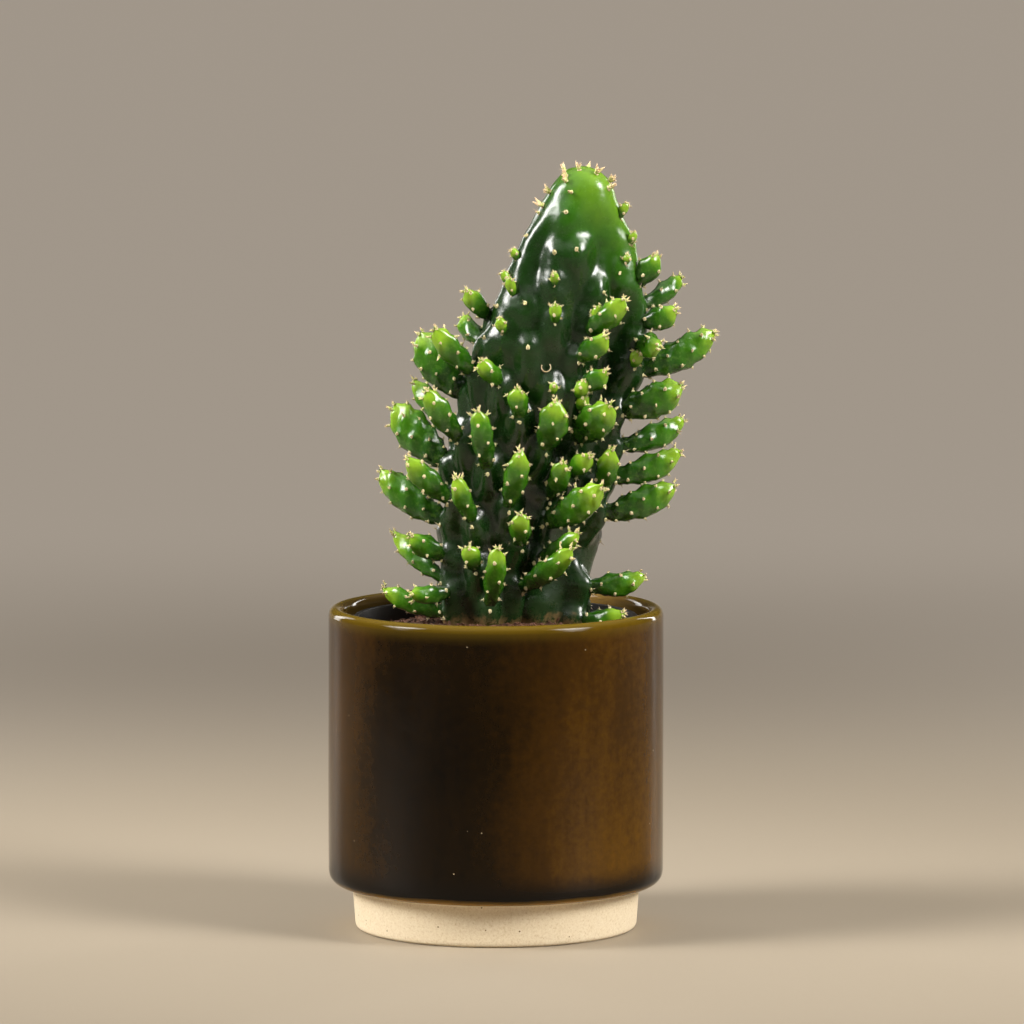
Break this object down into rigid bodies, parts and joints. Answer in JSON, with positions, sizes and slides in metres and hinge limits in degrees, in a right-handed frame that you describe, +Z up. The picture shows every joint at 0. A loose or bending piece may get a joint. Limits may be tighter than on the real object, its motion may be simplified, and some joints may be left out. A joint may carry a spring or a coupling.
{
  "type": "potted prickly pear cactus",
  "caption": "Young prickly pear with a ridged green stem set with small club-shaped pads, in a straight glazed stoneware cover pot on a bare foot.",
  "frame": {"origin": "centre of the flat foot that the pot stands on", "axes": "+Z up along the pot's axis, +X to the right as the plant leans, -Y toward the front"},
  "size_m": [0.1272, 0.11, 0.2505],
  "materials": {
    "glaze": "glossy olive-brown glaze over cream stoneware, bare at the foot",
    "nursery_plastic": "thin black polypropylene, satin",
    "compost": "damp peat and bark crumbs",
    "stem_skin": "waxy dark green, glossy on the ridges",
    "pad_skin": "glossy mid green with yellow-green tips"
  },
  "bodies": {
    "root": {"cover_pot": "glaze", "nursery_pot": "nursery_plastic", "compost": "compost", "main_stem": "stem_skin", "pad_01": "pad_skin", "pad_02": "pad_skin", "pad_03": "pad_skin", "pad_04": "pad_skin", "pad_05": "pad_skin", "pad_06": "pad_skin", "pad_07": "pad_skin", "pad_08": "pad_skin", "pad_09": "pad_skin", "pad_10": "pad_skin", "pad_11": "pad_skin", "pad_12": "pad_skin", "pad_13": "pad_skin", "pad_14": "pad_skin", "pad_15": "pad_skin", "pad_16": "pad_skin", "pad_17": "pad_skin", "pad_18": "pad_skin", "pad_19": "pad_skin", "pad_20": "pad_skin", "pad_21": "pad_skin", "pad_22": "pad_skin", "pad_23": "pad_skin", "pad_24": "pad_skin", "pad_25": "pad_skin", "pad_26": "pad_skin", "pad_27": "pad_skin", "pad_28": "pad_skin", "pad_29": "pad_skin", "pad_30": "pad_skin", "pad_31": "pad_skin", "pad_32": "pad_skin", "pad_33": "pad_skin", "pad_34": "pad_skin", "pad_35": "pad_skin", "pad_36": "pad_skin", "pad_37": "pad_skin", "pad_38": "pad_skin", "pad_39": "pad_skin", "pad_40": "pad_skin", "pad_41": "pad_skin", "pad_42": "pad_skin", "pad_43": "pad_skin", "pad_44": "pad_skin", "pad_45": "pad_skin", "pad_46": "pad_skin", "pad_47": "pad_skin", "pad_48": "pad_skin", "pad_49": "pad_skin", "pad_50": "pad_skin", "pad_51": "pad_skin", "pad_52": "pad_skin", "pad_53": "pad_skin", "pad_54": "pad_skin", "pad_55": "pad_skin", "pad_56": "pad_skin"}
  },
  "joints": []
}
